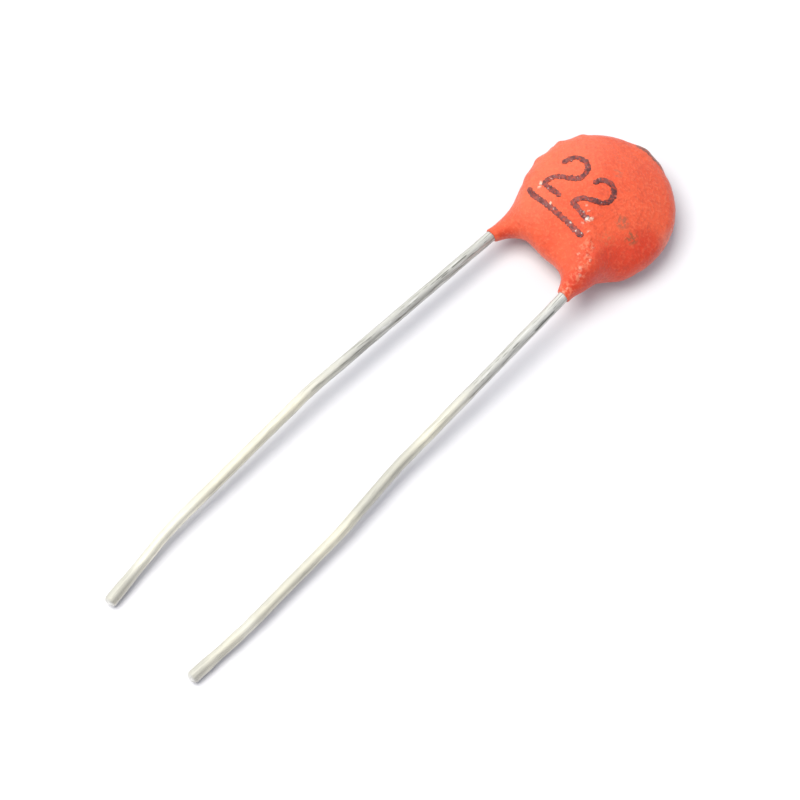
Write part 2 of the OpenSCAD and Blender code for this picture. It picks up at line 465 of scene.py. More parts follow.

# Tints of painted shade on the lower right side and the lower sides of the legs, of painted sheen on the
# upper left, and of a painted reflection of the floor on the right rim
PAINTED_LIGHT_TINTS = [
    ((2.55, -1.80, 0.50), 0.50, 1.2, 0.70, PAINTED_SHADE),
    ((2.95, -0.10, 0.25), 0.35, 1.0, 0.70, PAINTED_SHADE),
    ((2.40, -3.30, 0.45), 0.50, 0.6, 0.70, PAINTED_SHADE),
    ((-1.70, -3.80, -0.15), 0.15, 0.5, 0.70, PAINTED_SHADE),
    ((-2.80, 0.40, 0.90), 0.80, 2.2, 0.40, PAINTED_SHEEN),
    ((-1.95, -2.20, 0.95), 0.40, 1.2, 0.30, PAINTED_SHEEN),
    ((3.30, 1.00, -0.10), 0.30, 0.5, 0.35, PAINTED_FLOOR_REFLECTION),
]

# Tints of the handling marks, which a grain breaks up
SMUDGES = [
    ((1.52, -0.20, 1.04), 0.15, 0.28, 0.75, (0.36, 0.11, 0.055)),
    ((2.24, -0.34, 0.76), 0.15, 0.28, 0.80, (0.27, 0.09, 0.035)),
    ((-0.18, 1.28, 1.24), 0.10, 0.20, 0.55, (0.45, 0.15, 0.09)),
    ((1.98, -4.40, 0.50), 0.12, 0.10, 0.80, (0.80, 0.45, 0.25)),
    ((1.62, -1.20, 1.00), 0.12, 0.35, 0.50, (0.55, 0.17, 0.07)),
]

# Zones with fewer specks and with more pits
CALM_ZONE = ((2.60, -1.60, 0.50), 1.2, 1.6)
PITTED_ZONE = ((1.90, -0.60, 0.90), 1.6, 1.4)

# Zones of the dark line along the far rim
RIM_LINE = [
    ((-1.00, 3.13, 0.68), 0.08, 0.10),
    ((-0.66, 3.24, 0.60), 0.13, 0.10),
    ((-0.40, 3.33, 0.52), 0.18, 0.10),
    ((-0.12, 3.34, 0.46), 0.17, 0.10),
    ((0.18, 3.33, 0.42), 0.14, 0.10),
    ((0.46, 3.31, 0.38), 0.11, 0.10),
    ((0.70, 3.26, 0.35), 0.08, 0.10),
]

# Zones of painted highlights, broken into fine grains, along the ridge over the right lead
RIDGE_HIGHLIGHT_ZONES = [
    ((1.98, -4.05, 0.62), 0.15, 0.40),
    ((1.90, -3.30, 0.92), 0.15, 0.40),
    ((1.72, -2.70, 1.12), 0.15, 0.40),
    ((1.30, -2.10, 1.18), 0.15, 0.40),
]

# Crest of that ridge, from CENTRE, where the dip left small beads
CREST = [
    (1.98, -4.20, 0.58),
    (1.85, -3.89, 0.67),
    (1.82, -3.03, 1.04),
    (1.45, -2.35, 1.18),
    (0.86, -1.62, 1.20),
    (0.49, -1.10, 1.29),
]
CREST_REACH = 0.34
CREST_EDGE = 0.20

# Where the dip stands out or falls in a little: place from CENTRE, radius, and the way that it goes
DENTS = [
    ((-3.03, -1.40, 0.50), 0.40, (-0.05, -0.01, 0.00)),
    ((-3.27, -0.50, 0.56), 0.35, (-0.06, 0.00, 0.01)),
    ((-3.30, 0.10, 0.56), 0.35, (0.05, 0.00, -0.01)),
    ((-3.16, 0.78, 0.60), 0.30, (-0.07, 0.03, 0.02)),
    ((-2.95, 1.25, 0.58), 0.28, (0.03, -0.02, 0.00)),
    ((-2.75, 1.75, 0.60), 0.30, (-0.04, 0.03, 0.01)),
    ((-0.42, 3.25, 0.36), 0.80, (0.02, 0.13, 0.02)),
    ((0.42, 3.32, 0.20), 0.60, (0.03, 0.08, 0.00)),
    ((2.35, -3.25, 0.00), 0.85, (0.12, -0.02, 0.00)),
    ((2.95, -1.50, -0.40), 0.80, (0.08, -0.04, 0.00)),
    ((0.60, -3.40, -0.15), 0.80, (0.00, 0.06, 0.00)),
]

# The skin keeps still this near the parts inside, and is free where it is this much further off
STILL = 0.04
FREEING = 0.10

# A face this near the parts inside is a wall of their room
WALL_GAP = 0.012

# How far the room's solid reaches out of the legs, by the ends that the leads leave through
CORE_PUSH = (0, -0.6, 0)


def resin_colour(nodes, place, settings, speckles, cloud):
    """Orange with clouds, painted shade, painted sheen and a painted floor reflection, fine specks and
    pits.
    """
    colour = nodes.mix(cloud, settings.colour, settings.deep_colour)
    # Painted shade, painted sheen and a painted reflection of the floor
    colour = nodes.tinted(place, colour, PAINTED_LIGHT_TINTS)
    share = nodes.math("MULTIPLY_ADD", nodes.near(place, *CALM_ZONE), -0.10, 0.28)
    colour = nodes.mix(nodes.both(speckles, share), colour, SPECK)
    pits = nodes.ramp(nodes.noise(place, 4400), 0.48, 0.70)
    share = nodes.math("MULTIPLY_ADD", nodes.near(place, *PITTED_ZONE), 0.20, 0.20)
    return nodes.mix(nodes.both(pits, share), colour, PIT)


def marked(nodes, place, colour):
    """The colour with smudges, the dark line at the rim and painted highlights along the ridge."""
    grain = nodes.noise(place, 6500)
    smears = nodes.ramp(grain, 0.42, 0.60)
    for *zone, share, tint in SMUDGES:
        colour = nodes.mix(nodes.both(nodes.near(place, *zone), smears), colour, tint, share)
    broken = nodes.ramp(smears, 0, 0.6, 0.55, 0.95)
    colour = nodes.mix(nodes.both(nodes.any_near(place, RIM_LINE), broken), colour, RIM_BROWN)
    # Painted highlights along the ridge
    ridge_highlight = nodes.both(nodes.any_near(place, RIDGE_HIGHLIGHT_ZONES), nodes.ramp(grain, 0.48, 0.62))
    return nodes.mix(ridge_highlight, colour, PAINTED_RIDGE_HIGHLIGHT, 0.42)


def resin_material(settings):
    """Satin orange resin with clouds, pores, beads along the ridge and handling marks, with painted
    shade, sheen, highlights and glints.
    """
    material, nodes, shader, place = new_material("Orange resin")
    speckles, cloud = speckle(nodes, place, fine=8000, broad=900, coverage=0.45)
    colour = resin_colour(nodes, place, settings, speckles, cloud)
    colour = marked(nodes, place, colour)
    bead_glint = glints(nodes, place)
    # Painted glints on the small beads
    colour = nodes.mix(bead_glint, colour, PAINTED_GLINT)
    colour = nodes.mix(rays_of(nodes, "Diffuse"), colour, THROWN, 0.5)
    rough = nodes.ramp(speckles, 0, 1, settings.roughness - 0.05, settings.roughness + 0.08)
    peel = nodes.noise(place, 3200, 2, 0.5)
    pores = nodes.ramp(nodes.noise(place, 8000, 3), 0.30, 0.70)
    height = nodes.math("MULTIPLY_ADD", pores, 0.6, peel)
    height = nodes.math("MULTIPLY_ADD", bead_glint, 1.5, height)
    normal = bump(nodes, height, distance=0.03, strength=0.8)
    nodes.put(shader, Base_Color=colour, Roughness=rough, Specular_IOR_Level=0.58, Normal=normal)
    return material


def free_skin(piece, tree):
    """Weights each vertex by how far it stands off the parts inside, in group 'outer'."""
    group = piece.vertex_groups.new(name="outer")
    for vertex in piece.data.vertices:
        distance = tree.find_nearest(vertex.co)[3]
        group.add([vertex.index], clamp((distance - STILL) / FREEING), "REPLACE")


def merged_copy(node, name):
    """A copy of a CAD node's mesh in millimetres, with its loose triangles merged."""
    piece = bpy.data.objects.new(name, frame["nodes"][node].data.copy())
    piece.data.name = name
    bpy.context.scene.collection.objects.link(piece)
    piece.scale = (1 / MM, 1 / MM, 1 / MM)
    only(piece)
    bpy.ops.object.transform_apply(location=False, rotation=False, scale=True)
    merge(piece)
    return piece


def take_out_core(skin, tree):
    """Splits the walls of the room inside off the skin, as a closed solid, and closes the skin."""
    bpy.ops.object.mode_set(mode="EDIT")
    bpy.ops.mesh.select_mode(type="FACE")
    bpy.ops.mesh.select_all(action="DESELECT")
    bpy.ops.object.mode_set(mode="OBJECT")
    mesh = skin.data
    at_wall = [tree.find_nearest(vertex.co)[3] < WALL_GAP for vertex in mesh.vertices]
    for face in mesh.polygons:
        face.select = all(at_wall[i] for i in face.vertices)
    before = set(bpy.data.objects)
    bpy.ops.object.mode_set(mode="EDIT")
    bpy.ops.mesh.separate(type="SELECTED")
    bpy.ops.object.mode_set(mode="OBJECT")
    core = (set(bpy.data.objects) - before).pop()
    for piece, push in ((skin, False), (core, True)):
        only(piece)
        bpy.ops.object.mode_set(mode="EDIT")
        bpy.ops.mesh.select_mode(type="EDGE")
        bpy.ops.mesh.select_all(action="DESELECT")
        bpy.ops.mesh.select_non_manifold(
            use_wire=False, use_multi_face=False, use_non_contiguous=False, use_verts=False
        )
        if push:
            bpy.ops.mesh.extrude_region_move(TRANSFORM_OT_translate={"value": CORE_PUSH})
        bpy.ops.mesh.edge_face_add()
        bpy.ops.mesh.select_all(action="SELECT")
        bpy.ops.mesh.normals_make_consistent(inside=False)
        bpy.ops.object.mode_set(mode="OBJECT")
    return core


def bead_crest(piece):
    """Weights each vertex by how near it lies to the crest of the ridge, in group 'crest'."""
    group = piece.vertex_groups.new(name="crest")
    outer = piece.vertex_groups["outer"]
    stops = [CENTRE + Vector(stop) for stop in CREST]
    for vertex in piece.data.vertices:
        gap = math.inf
        for start, end in zip(stops, stops[1:]):
            share = clamp(intersect_point_line(vertex.co, start, end)[1])
            gap = min(gap, (vertex.co - start.lerp(end, share)).length)
        weight = clamp((CREST_REACH - gap) / CREST_EDGE)
        if weight > 0:
            group.add([vertex.index], weight * outer.weight(vertex.index), "REPLACE")


def push_dents(piece):
    """Moves the skin out or in where the dip was uneven."""
    for centre, radius, way in DENTS:
        middle = CENTRE + Vector(centre)
        for vertex in piece.data.vertices:
            share = (vertex.co - middle).length / radius
            if share < 1:
                vertex.co += Vector(way) * (1 - share * share) ** 2


def above_floor(piece):
    """Lifts what has gone under the floor onto it."""
    for vertex in piece.data.vertices:
        vertex.co.z = max(vertex.co.z, 0.0)


class CAPACITOR_OT_coat(bpy.types.Operator):
    """Dipped resin coat, with the unevenness of a real dip"""

    bl_idname = "capacitor.coat"
    bl_label = "Coat"

    def execute(self, context):
        settings = context.scene.capacitor_coat
        wobble = settings.wobble / MM
        tree = search_tree(frame["nodes"][name].data for name in INSIDE + LEADS)
        skin = merged_copy("coating", "coat_skin")
        core = take_out_core(skin, tree)
        shape(skin, "REMESH", mode="VOXEL", voxel_size=settings.grain / MM)
        shape(skin, "SMOOTH", factor=0.5, iterations=4)
        free_skin(skin, tree)
        rumple(skin, "Sag", size=1.6, strength=wobble, vertex_group="outer")
        rumple(skin, "Waves", size=0.7, strength=0.4 * wobble, vertex_group="outer")
        bead_crest(skin)
        rumple(
            skin, "Beads", size=0.17, strength=0.16, depth=1, vertex_group="crest", mid_level=0.45
        )
        push_dents(skin)
        above_floor(skin)
        shape(skin, "BOOLEAN", object=core, operation="DIFFERENCE", solver="EXACT")
        bpy.data.objects.remove(core)
        settle(skin, resin_material(settings))
        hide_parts("coating")
        return {"FINISHED"}


# ---- Marking ----

# Strokes of the printed value from CENTRE, seen from above, in millimetres.
# Each figure is a hook that runs down to its corner, and a foot along its base.
FIGURES = (
    (
        [
            (-2.173, -0.068), (-2.120, 0.251), (-1.973, 0.510), (-1.736, 0.638), (-1.442, 0.640),
            (-1.235, 0.525), (-1.109, 0.258), (-1.082, -0.007), (-1.202, -0.255), (-1.448, -0.440),
            (-1.700, -0.589), (-1.925, -0.757), (-2.043, -1.010), (-2.099, -1.306),
        ],
        [(-2.160, -1.320), (-1.888, -1.292), (-1.631, -1.300), (-1.333, -1.289), (-1.089, -1.312)],
    ),
    (
        [
            (-0.495, 0.069), (-0.460, 0.309), (-0.360, 0.513), (-0.169, 0.625), (0.100, 0.621),
            (0.330, 0.502), (0.484, 0.295), (0.542, 0.046), (0.456, -0.223), (0.240, -0.409),
            (-0.025, -0.548), (-0.276, -0.695), (-0.445, -0.877), (-0.526, -1.207),
        ],
        [
            (-0.585, -1.200), (-0.344, -1.186), (-0.152, -1.210), (0.076, -1.242), (0.322, -1.257),
            (0.532, -1.229),
        ],
    ),
)
UNDERLINE = [
    (-2.458, -1.851), (-2.097, -1.947), (-1.353, -1.927), (-0.638, -1.913), (0.155, -1.908),
    (0.875, -1.967),
]

# Length of a stroke's cells, how many lie across it, and the share of its width left at its ends
CELL = 0.04
CELLS_ACROSS = 7
END_SHARE = 0.2

# How far the ink stands off the coat, and a hook off its foot, so that no faces share a place
INK_GAP = 0.003
HOOK_LIFT = 0.004

# A height that the coat doesn't reach
HIGH = 10

FULL_INK = ((0.70, 0.05, 1.30), 0.5, 0.9, 0.6, (0.060, 0.010, 0.013))
# Painted glints on grains of the ink
INK_GRAIN_GLINT = (0.80, 0.55, 0.50)
# Painted glint colour on the small beads of the ink
INK_PAINTED_GLINT = (1.0, 0.90, 0.80)


def ink_material(settings, coat):
    """Dark ink with thin spots, where the resin shows through, and painted glints on its grains and on
    small beads.
    """
    material, nodes, shader, place = new_material("Marking ink")
    speckles, cloud = speckle(nodes, place, fine=8000, broad=4500, coverage=0.47)
    colour = nodes.mix(cloud, settings.colour, settings.thin_colour)
    colour = nodes.tinted(place, colour, [FULL_INK])
    colour = nodes.mix(speckles, colour, coat.deep_colour, 0.40)
    # Painted glints on grains of the ink
    grains = nodes.ramp(nodes.noise(place, 9500, 1, 0.5), 0.68, 0.74)
    colour = nodes.mix(grains, colour, INK_GRAIN_GLINT, 0.5)
    bead_glint = glints(nodes, place)
    # Painted glints on the small beads of the ink
    colour = nodes.mix(bead_glint, colour, INK_PAINTED_GLINT)
    height = nodes.math("MULTIPLY_ADD", bead_glint, 1.5, nodes.noise(place, 9000, 2, 0.5))
    normal = bump(nodes, height, distance=0.025, strength=0.8)
    rough = nodes.ramp(speckles, 0, 1, 0.35, 0.60)
    nodes.put(shader, Base_Color=colour, Roughness=rough, Normal=normal)
    return material


def bent_line(points):
    """A smooth flat curve through the points."""
    bpy.ops.curve.primitive_bezier_curve_add()
    line = bpy.context.object
    line.data.dimensions = "2D"
    line.data.resolution_u = 24
    spline = line.data.splines[0]
    spline.bezier_points.add(len(points) - 2)
    for node, (x, y) in zip(spline.bezier_points, points):
        node.co = (x + CENTRE.x, y + CENTRE.y, 0)
        node.handle_left_type = "AUTO"
        node.handle_right_type = "AUTO"
    return line


def stroke(points, width):
    """A flat strip with round ends along a smooth line through the points."""
    line = bent_line(points)
    length = line.data.splines[0].calc_length()
    cells = round(length / CELL)
    bpy.ops.mesh.primitive_grid_add(x_subdivisions=cells, y_subdivisions=CELLS_ACROSS, size=1)
    strip = bpy.context.object
    bpy.ops.object.mode_set(mode="EDIT")
    bpy.ops.transform.translate(value=(0.5, 0, 0))
    bpy.ops.transform.resize(value=(length, width, 1), center_override=(0, 0, 0))
    bpy.ops.object.mode_set(mode="OBJECT")
    half = width / 2
    for vertex in strip.data.vertices:
        to_end = min(vertex.co.x, length - vertex.co.x)
        if to_end < half:
            share = 1 - to_end / half
            vertex.co.y *= math.sqrt(max(END_SHARE * END_SHARE, 1 - share * share))
    shape(strip, "CURVE", object=line, deform_axis="POS_X")
    bpy.data.objects.remove(line)
    return strip


def lay_on(marking, mesh):
    """Drops each vertex of the marking onto a mesh from above."""
    tree = search_tree([mesh])
    for vertex in marking.data.vertices:
        above = Vector((vertex.co.x, vertex.co.y, HIGH))
        hit = tree.ray_cast(above, Vector((0, 0, -1)))[0]
        if hit is None:
            raise RuntimeError("a stroke of the marking misses the coat")
        vertex.co.z += hit.z + INK_GAP


class CAPACITOR_OT_marking(bpy.types.Operator):
    """Printed value: two figures and a bar under them, laid on the front face"""

    bl_idname = "capacitor.marking"
    bl_label = "Marking"

    def execute(self, context):
        settings = context.scene.capacitor_marking
        width = settings.stroke / MM
        strokes = [stroke(UNDERLINE, width)]
        for hook, foot in FIGURES:
            strokes.append(stroke(foot, width))
            strokes.append(stroke(hook, width))
            for vertex in strokes[-1].data.vertices:
                vertex.co.z += HOOK_LIFT
        marking = join(strokes, "marking")
        for axis, size in (("X", 0.08), ("Y", 0.09)):
            rumple(marking, "Ragged " + axis, size, strength=0.15, direction=axis)
        lay_on(marking, bpy.data.objects["coat_skin"].data)
        shape(marking, "SOLIDIFY", thickness=settings.thickness / MM, offset=1)
        settle(marking, ink_material(settings, context.scene.capacitor_coat))
        return {"FINISHED"}


# ---- Leads ----

# Corners of each lead from the disc to its tip in millimetres, and the radius of each bend
ROUTES = {
    "lead_left": [
        ((-0.151, 11.343, 0.646), 0),
        ((-2.090, 9.334, 0.849), 1.2),
        ((-2.355, 7.523, 1.199), 0.7),
        ((-2.466, -3.076, 1.15), 12),
        ((-2.061, -11.366, 0.65), 12),
        ((-1.493, -15.123, 0.25), 0),
    ],
    "lead_right": [
        ((0.010, 11.343, 2.177), 0),
        ((1.701, 9.151, 1.999), 1.2),
        ((1.966, 7.523, 1.650), 0.7),
        ((2.474, -2.864, 0.8), 12),
        ((2.888, -6.239, 0.65), 12),
        ((3.201, -11.830, 0.45), 12),
        ((3.169, -14.830, 0.25), 0),
    ],
}

# Length of one step along a wire, and how far back from its tip the wire is rounded off
STEP = 0.25
TIP_ROUNDING = 0.18

# Where the tinning starts to swell and is thickest, back from the tip, and by what share it swells
SWELL_START = 1.80
SWELL_PEAK = 0.45
SWELL = 0.13

# Along Y, the tin goes dull towards the coat and darker towards the tips. Both edges wander by the
# wave, and the dull one slants across X.
WAVE = 5 * MM
SLANT = -0.6
DULL_ALONG = (-0.5 * MM, 4.5 * MM)
DARKER_TIP_ALONG = (-11.5 * MM, -9.5 * MM)

# Painted shades round a wire, in millimetres from its top to its right: start and end, then share and
# colour
SIDE_ROUND = (0.12, 0.34)
UNDER_SHADE = (0.28, 0.42, 0.45, (0.34, 0.34, 0.36))
BACK_SHADE = (0.06, -0.12, 0.40, (0.58, 0.58, 0.50))

DARKER_TIP_TIN = (0.58, 0.57, 0.50)
DARKER_STRETCH_TIN = (0.44, 0.44, 0.40)
# Painted highlight on bright stretches of the wires
PAINTED_HIGHLIGHT_TIN = (1.0, 0.98, 0.84)
CUT_TIN = (0.98, 0.98, 0.95)
CLOUD_TIN = (0.60, 0.60, 0.57)
STREAK = (0.16, 0.16, 0.14)
STREAK_SHINE = (0.95, 0.95, 0.92)
# Painted shade down the right side of a wire
PAINTED_SIDE_SHADE = (0.42, 0.41, 0.38)
# Painted dark reflection line down the right side of a wire
PAINTED_REFLECTION_LINE = (0.22, 0.20, 0.17)
SCRATCH = (0.09, 0.09, 0.075)

# Darker stretches and the cut ends of the wires, as tints, and stretches of painted highlight, as zones
DARKER_STRETCH_TINTS = [
    ((-2.28, -8.80, 0.0), 3.2, 3.0, 0.60, DARKER_STRETCH_TIN),
    ((2.65, -15.30, -0.6), 1.3, 1.3, 0.60, DARKER_STRETCH_TIN),
    ((3.10, -21.60, -1.0), 1.2, 1.6, 0.35, DARKER_STRETCH_TIN),
]
CUT_TINTS = [(Vector(ROUTES[node][-1][0]) - CENTRE, 0.22, 0.12, 0.7, CUT_TIN) for node in LEADS]
PAINTED_HIGHLIGHT_ZONES = [
    ((-1.95, -23.30, -0.80), 1.2, 1.4),
    ((3.25, -23.50, -0.95), 0.25, 0.45),
]

# Dark scratches: zone, then the middle and half width round the wire from its top
SCRATCHES = [
    (((-2.28, -6.15, 0.05), 0.36, 0.15), 0.03, 0.018),
    (((-2.34, -7.10, 0.00), 0.28, 0.15), 0.00, 0.014),
    (((2.05, -5.60, 0.42), 0.60, 0.15), 0.24, 0.030),
]


def streaked(nodes, colour, streaks, dull):
    """The colour with drawn streaks, darker and brighter ones, more where the tin is dull."""
    share = nodes.math("MULTIPLY_ADD", dull, 0.60, 0.20)
    marks = nodes.both(nodes.ramp(streaks, 0.54, 0.64), share)
    colour = nodes.mix(marks, colour, STREAK)
    return nodes.mix(nodes.both(nodes.ramp(streaks, 0.44, 0.36), dull), colour, STREAK_SHINE, 0.5)


def shaded_round(nodes, colour, turn, darker_tip, highlight):
    """The colour with painted shade, darker down the right side and under it, and a little on the left.
    """
    share = nodes.math("MULTIPLY_ADD", darker_tip, -0.22, 0.27)
    share = nodes.both(share, nodes.ramp(highlight, 0, 1, 1, 0.2))
    colour = nodes.mix(nodes.both(nodes.ramp(turn, *SIDE_ROUND), share), colour, PAINTED_SIDE_SHADE)
    for start, end, share, shade in (UNDER_SHADE, BACK_SHADE):
        colour = nodes.mix(nodes.ramp(turn, start, end), colour, shade, share)
    return colour


def lined(nodes, place, colour, wrap, turn, streaks, dull):
    """The colour with a painted dark reflection line that wanders along each wire, and the scratches."""
    # A painted dark reflection line down the right side of the wire
    slow = nodes.noise(nodes.stretched(wrap, 0.22, 0.4), 1, 1, 0.5)
    seat = nodes.math("MULTIPLY_ADD", slow, 0.14, 0.19)
    line = nodes.ramp(nodes.off(turn, seat), 0.005, 0.065, 1, 0)
    broken = nodes.ramp(streaks, 0.35, 0.60, 0.15, 0.52)
    fading = nodes.ramp(dull, 0, 1, 0.6, 1)
    colour = nodes.mix(nodes.both(line, broken, fading), colour, PAINTED_REFLECTION_LINE)
    for zone, middle, half in SCRATCHES:
        scratch = nodes.ramp(nodes.off(turn, middle), half, 2 * half, 1, 0)
        colour = nodes.mix(nodes.both(scratch, nodes.near(place, *zone)), colour, SCRATCH, 0.8)
    return colour


def tin_material(settings):
    """Tinned wire, dull near the coat and brighter below, with painted highlights and shade, a painted
    dark reflection line, streaks and scratches.
    """
    material, nodes, shader, place = new_material("Tinned wire")
    wrap = nodes.add("ShaderNodeUVMap", uv_map="wrap").outputs["UV"]
    turn = nodes.apart(wrap)["Y"]
    position = nodes.apart(place)
    waves = nodes.noise(place, 350, 2, 0.5)
    reach = nodes.math("MULTIPLY_ADD", waves, WAVE, position["Y"])
    slanted = nodes.math("MULTIPLY_ADD", position["X"], SLANT, reach)
    dull = nodes.ramp(slanted, *DULL_ALONG)
    darker_tip = nodes.ramp(reach, *DARKER_TIP_ALONG, 1, 0)
    highlight = nodes.any_near(place, PAINTED_HIGHLIGHT_ZONES)
    speckles, cloud = speckle(nodes, place, fine=8000, broad=1100, coverage=0.40)
    streaks = nodes.noise(nodes.stretched(wrap, 0.7, 10), 1, 3)
    colour = nodes.mix(dull, settings.colour, settings.dull_colour)
    colour = nodes.mix(darker_tip, colour, DARKER_TIP_TIN, 0.8)
    colour = nodes.tinted(place, colour, DARKER_STRETCH_TINTS)
    # Painted highlights on bright stretches
    colour = nodes.mix(highlight, colour, PAINTED_HIGHLIGHT_TIN, 0.6)
    colour = nodes.tinted(place, colour, CUT_TINTS)
    colour = nodes.mix(cloud, colour, CLOUD_TIN, 0.25)
    colour = streaked(nodes, colour, streaks, dull)
    colour = shaded_round(nodes, colour, turn, darker_tip, highlight)
    colour = lined(nodes, place, colour, wrap, turn, streaks, dull)
    rough = nodes.ramp(cloud, 0, 1, settings.roughness - 0.06, settings.roughness + 0.08)
    height = nodes.math("MULTIPLY_ADD", speckles, 0.4, streaks)
    normal = bump(nodes, height, distance=0.008, strength=0.6)
    nodes.put(shader, Base_Color=colour, Metallic=0.55, Roughness=rough, Normal=normal)
    return material


def straight(start, end):
    """Points from one place towards another, without either."""
    count = max(1, round((end - start).length / STEP))
    return [start.lerp(end, k / count) for k in range(1, count)]


def bent_route(stops):
    """Points along straight stretches that are joined by round bends."""
    corners = [Vector(point) for point, radius in stops]
    points = [corners[0]]
    for i in range(1, len(corners) - 1):
        radius = stops[i][1]
        into = (corners[i] - corners[i - 1]).normalized()
        out = (corners[i + 1] - corners[i]).normalized()
        turn = into.angle(out)
        across = (out - into * into.dot(out)).normalized()
        start = corners[i] - into * radius * math.tan(turn / 2)
        centre = start + across * radius
        points += straight(points[-1], start)
        count = max(6, math.ceil(radius * turn / STEP))
        for k in range(count + 1):
            angle = turn * k / count
            points.append(centre + (into * math.sin(angle) - across * math.cos(angle)) * radius)
    return points + straight(points[-1], corners[-1]) + [corners[-1]]


def round_end(points, radius, steps=6):
    """Stops along a wire with the share of its radius at each, rounded off at the tip."""
    tip = points[-1]
    way = (tip - points[-2]).normalized()
    stops = [(point, 1.0) for point in points[:-1]]
    for k in range(steps + 1):
        angle = math.pi / 2 * k / steps
        point = tip - way * TIP_ROUNDING * (1 - math.sin(angle))
        stops.append((point, 1 - TIP_ROUNDING / radius * (1 - math.cos(angle))))
    return stops


def round_wire(name, points, radius):
    """A closed round wire along the points, as a mesh."""
    bpy.ops.curve.primitive_nurbs_path_add()
    wire = bpy.context.object
    wire.name = name
    wire.data.splines.clear()
    spline = wire.data.splines.new("POLY")
    stops = round_end(points, radius)
    spline.points.add(len(stops) - 1)
    for stop, (point, share) in zip(spline.points, stops):
        stop.co = (*point, 1)
        stop.radius = share
    wire.data.bevel_depth = radius
    wire.data.bevel_resolution = 6
    wire.data.use_fill_caps = True
    only(wire)
    bpy.ops.object.convert(target="MESH")
    merge(wire)
    return wire


def swell_tip(wire, points):
    """Thickens the tinning just before the tip."""
    tip = points[-1]
    way = (tip - points[-2]).normalized()
    for vertex in wire.data.vertices:
        back = (tip - vertex.co).dot(way)
        if back < SWELL_START:
            foot = tip - way * back
            share = max(0.0, 1 - abs(back - SWELL_PEAK) / (SWELL_START - SWELL_PEAK))
            vertex.co += (vertex.co - foot) * (SWELL * share * share * (3 - 2 * share))


def seat_on(points, place):
    """Distance along a line of points to where a place lies beside it, and its turn from the top."""
    best = None
    run = 0.0
    for start, end in zip(points, points[1:]):
        length = (end - start).length
        share = clamp(intersect_point_line(place, start, end)[1])
        out = place - start.lerp(end, share)
        if best is None or out.length < best[0]:
            way = (end - start).normalized()
            side = Vector((0, 0, 1)).cross(way).normalized()
            turn = math.atan2(out.dot(side), out.dot(way.cross(side)))
            best = (out.length, run + share * length, turn)
        run += length
    return best[1:]


def wrap_map(wire, points, radius):
    """UV map 'wrap': millimetres along the wire, and round it from its top."""
    seats = [seat_on(points, vertex.co) for vertex in wire.data.vertices]
    layer = wire.data.uv_layers.new(name="wrap")
    for face in wire.data.polygons:
        turns = [seats[i][1] for i in face.vertices]
        split = max(turns) - min(turns) > math.pi
        for loop, vertex in zip(face.loop_indices, face.vertices):
            along, turn = seats[vertex]
            if split and turn < 0:
                turn += 2 * math.pi
            layer.data[loop].uv = (along, turn * radius)


class CAPACITOR_OT_leads(bpy.types.Operator):
    """Two tinned wires, bent softly and rounded off at their tips"""

    bl_idname = "capacitor.leads"
    bl_label = "Leads"

    def execute(self, context):
        settings = context.scene.capacitor_leads
        radius = settings.diameter / MM / 2
        material = tin_material(settings)
        for node in LEADS:
            points = bent_route(ROUTES[node])
            wire = round_wire(node + "_wire", points, radius)
            rumple(wire, "Tinning " + node, size=0.7, strength=0.035)
            swell_tip(wire, points)
            above_floor(wire)
            wrap_map(wire, points, radius)
            settle(wire, material)
            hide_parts(node)
        return {"FINISHED"}


# ---- Inside ----

CERAMIC_GRAIN = (0.86, 0.80, 0.68)


def fired_material(settings):
    """Matt fired ceramic with fine grain."""
    material, nodes, shader, place = new_material("Fired ceramic")
    speckles, cloud = speckle(nodes, place, fine=14000, broad=1500, coverage=0.45)
    colour = clouded(nodes, cloud, settings.ceramic, 0.86)
    colour = nodes.mix(speckles, colour, CERAMIC_GRAIN, 0.25)
    rough = nodes.ramp(speckles, 0, 1, 0.72, 0.85)
    normal = bump(nodes, speckles, distance=0.006, strength=0.5)
    nodes.put(shader, Base_Color=colour, Roughness=rough, Normal=normal)
    return material


def metal_material(name, colour, roughness, grain):
    """Metal with clouds in its colour and a fine uneven surface."""
    material, nodes, shader, place = new_material(name)
    speckles, cloud = speckle(nodes, place, fine=grain, broad=1300, coverage=0.45)
    colour = clouded(nodes, cloud, colour, 0.82)
    rough = nodes.ramp(speckles, 0, 1, roughness - 0.06, roughness + 0.10)
    normal = bump(nodes, speckles, distance=0.005, strength=0.5)
    nodes.put(shader, Base_Color=colour, Metallic=1, Roughness=rough, Normal=normal)
    return material


class CAPACITOR_OT_inside(bpy.types.Operator):
    """Finishes of the parts under the coat: ceramic disc, silver layers and solder"""

    bl_idname = "capacitor.inside"
    bl_label = "Inside"

    def execute(self, context):
        settings = context.scene.capacitor_inside
        silver = metal_material("Printed silver", settings.silver, 0.45, grain=12000)
        solder = metal_material("Solder", settings.solder, 0.24, grain=5000)
        finishes = {
            "ceramic_disc": fired_material(settings),
            "electrode_front": silver,
            "electrode_back": silver,
            "solder_front": solder,
            "solder_back": solder,
        }
        for node, material in finishes.items():
            for slot in frame["nodes"][node].material_slots:
                slot.material = material
        return {"FINISHED"}


# ---- Stage ----

# Width of the floor in metres, and the stretch over which it turns white away from the part
FLOOR = 1.2
WHITENING = (40 * MM, 250 * MM)

# Square lamp at the upper left, in metres
LAMP_PLACE = (-0.0780, -0.0590, 0.2725)
LAMP_AIM = (0, 0.002, 0)
LAMP_SIZE = 0.205
LAMP_COLOUR = (1.0, 0.985, 0.96)

# The room that a shine sees: its bright side, and the slope, middle and least value of its level
BRIGHT_SIDE = (-0.80, 0.15, 0.58)
ROOM_SLOPE = 0.90
ROOM_MIDDLE = 0.62
ROOM_LEAST = 0.26

